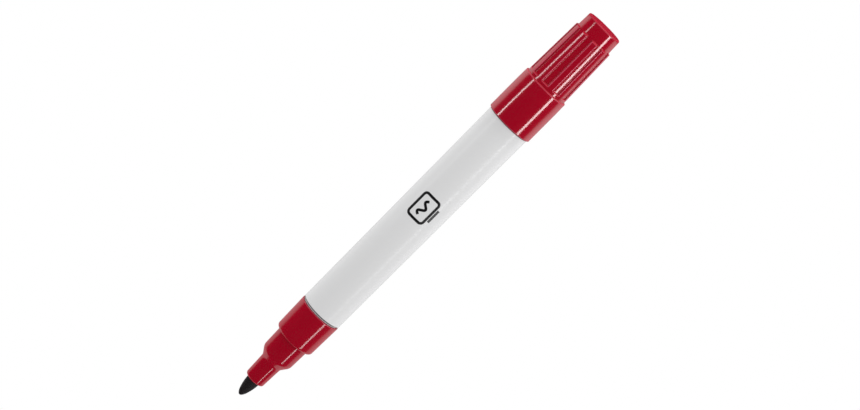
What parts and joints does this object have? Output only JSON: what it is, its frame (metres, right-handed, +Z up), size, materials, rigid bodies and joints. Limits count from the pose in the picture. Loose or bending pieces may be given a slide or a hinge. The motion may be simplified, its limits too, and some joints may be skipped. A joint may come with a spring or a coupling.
{
  "type": "whiteboard marker",
  "caption": "Bullet-nib whiteboard marker with a stepped front section, a tapered barrel and a ribbed push-on cap posted on its rear stub.",
  "frame": {"origin": "on the table, under the middle of the marker's length with the cap posted", "axes": "+X along the marker's axis towards the nib, +Z up from the table, +Y across"},
  "size_m": [0.1602, 0.016, 0.016],
  "materials": {
    "nib_felt": "pressed fibre soaked with ink",
    "red_plastic": "glossy moulded",
    "white_plastic": "glossy extruded, with a black printed pictogram",
    "black_print": "screen-printed ink",
    "ink_fibre": "bonded fibre soaked with ink",
    "clear_film": "thin wrap",
    "seal_plastic": "soft natural polyethylene"
  },
  "bodies": {
    "marker": {"nib": "nib_felt", "front_section": "red_plastic", "barrel": "white_plastic", "ink_reservoir": "ink_fibre", "reservoir_wrap": "clear_film", "rear_plug": "red_plastic"},
    "cap": {"cap": "red_plastic", "cap_inner_seal": "seal_plastic"}
  },
  "joints": [
    {"name": "cap_slide", "type": "slide", "parent": "marker", "child": "cap", "axis": [-1, 0, 0], "range_m": [0, 0.035]}
  ]
}
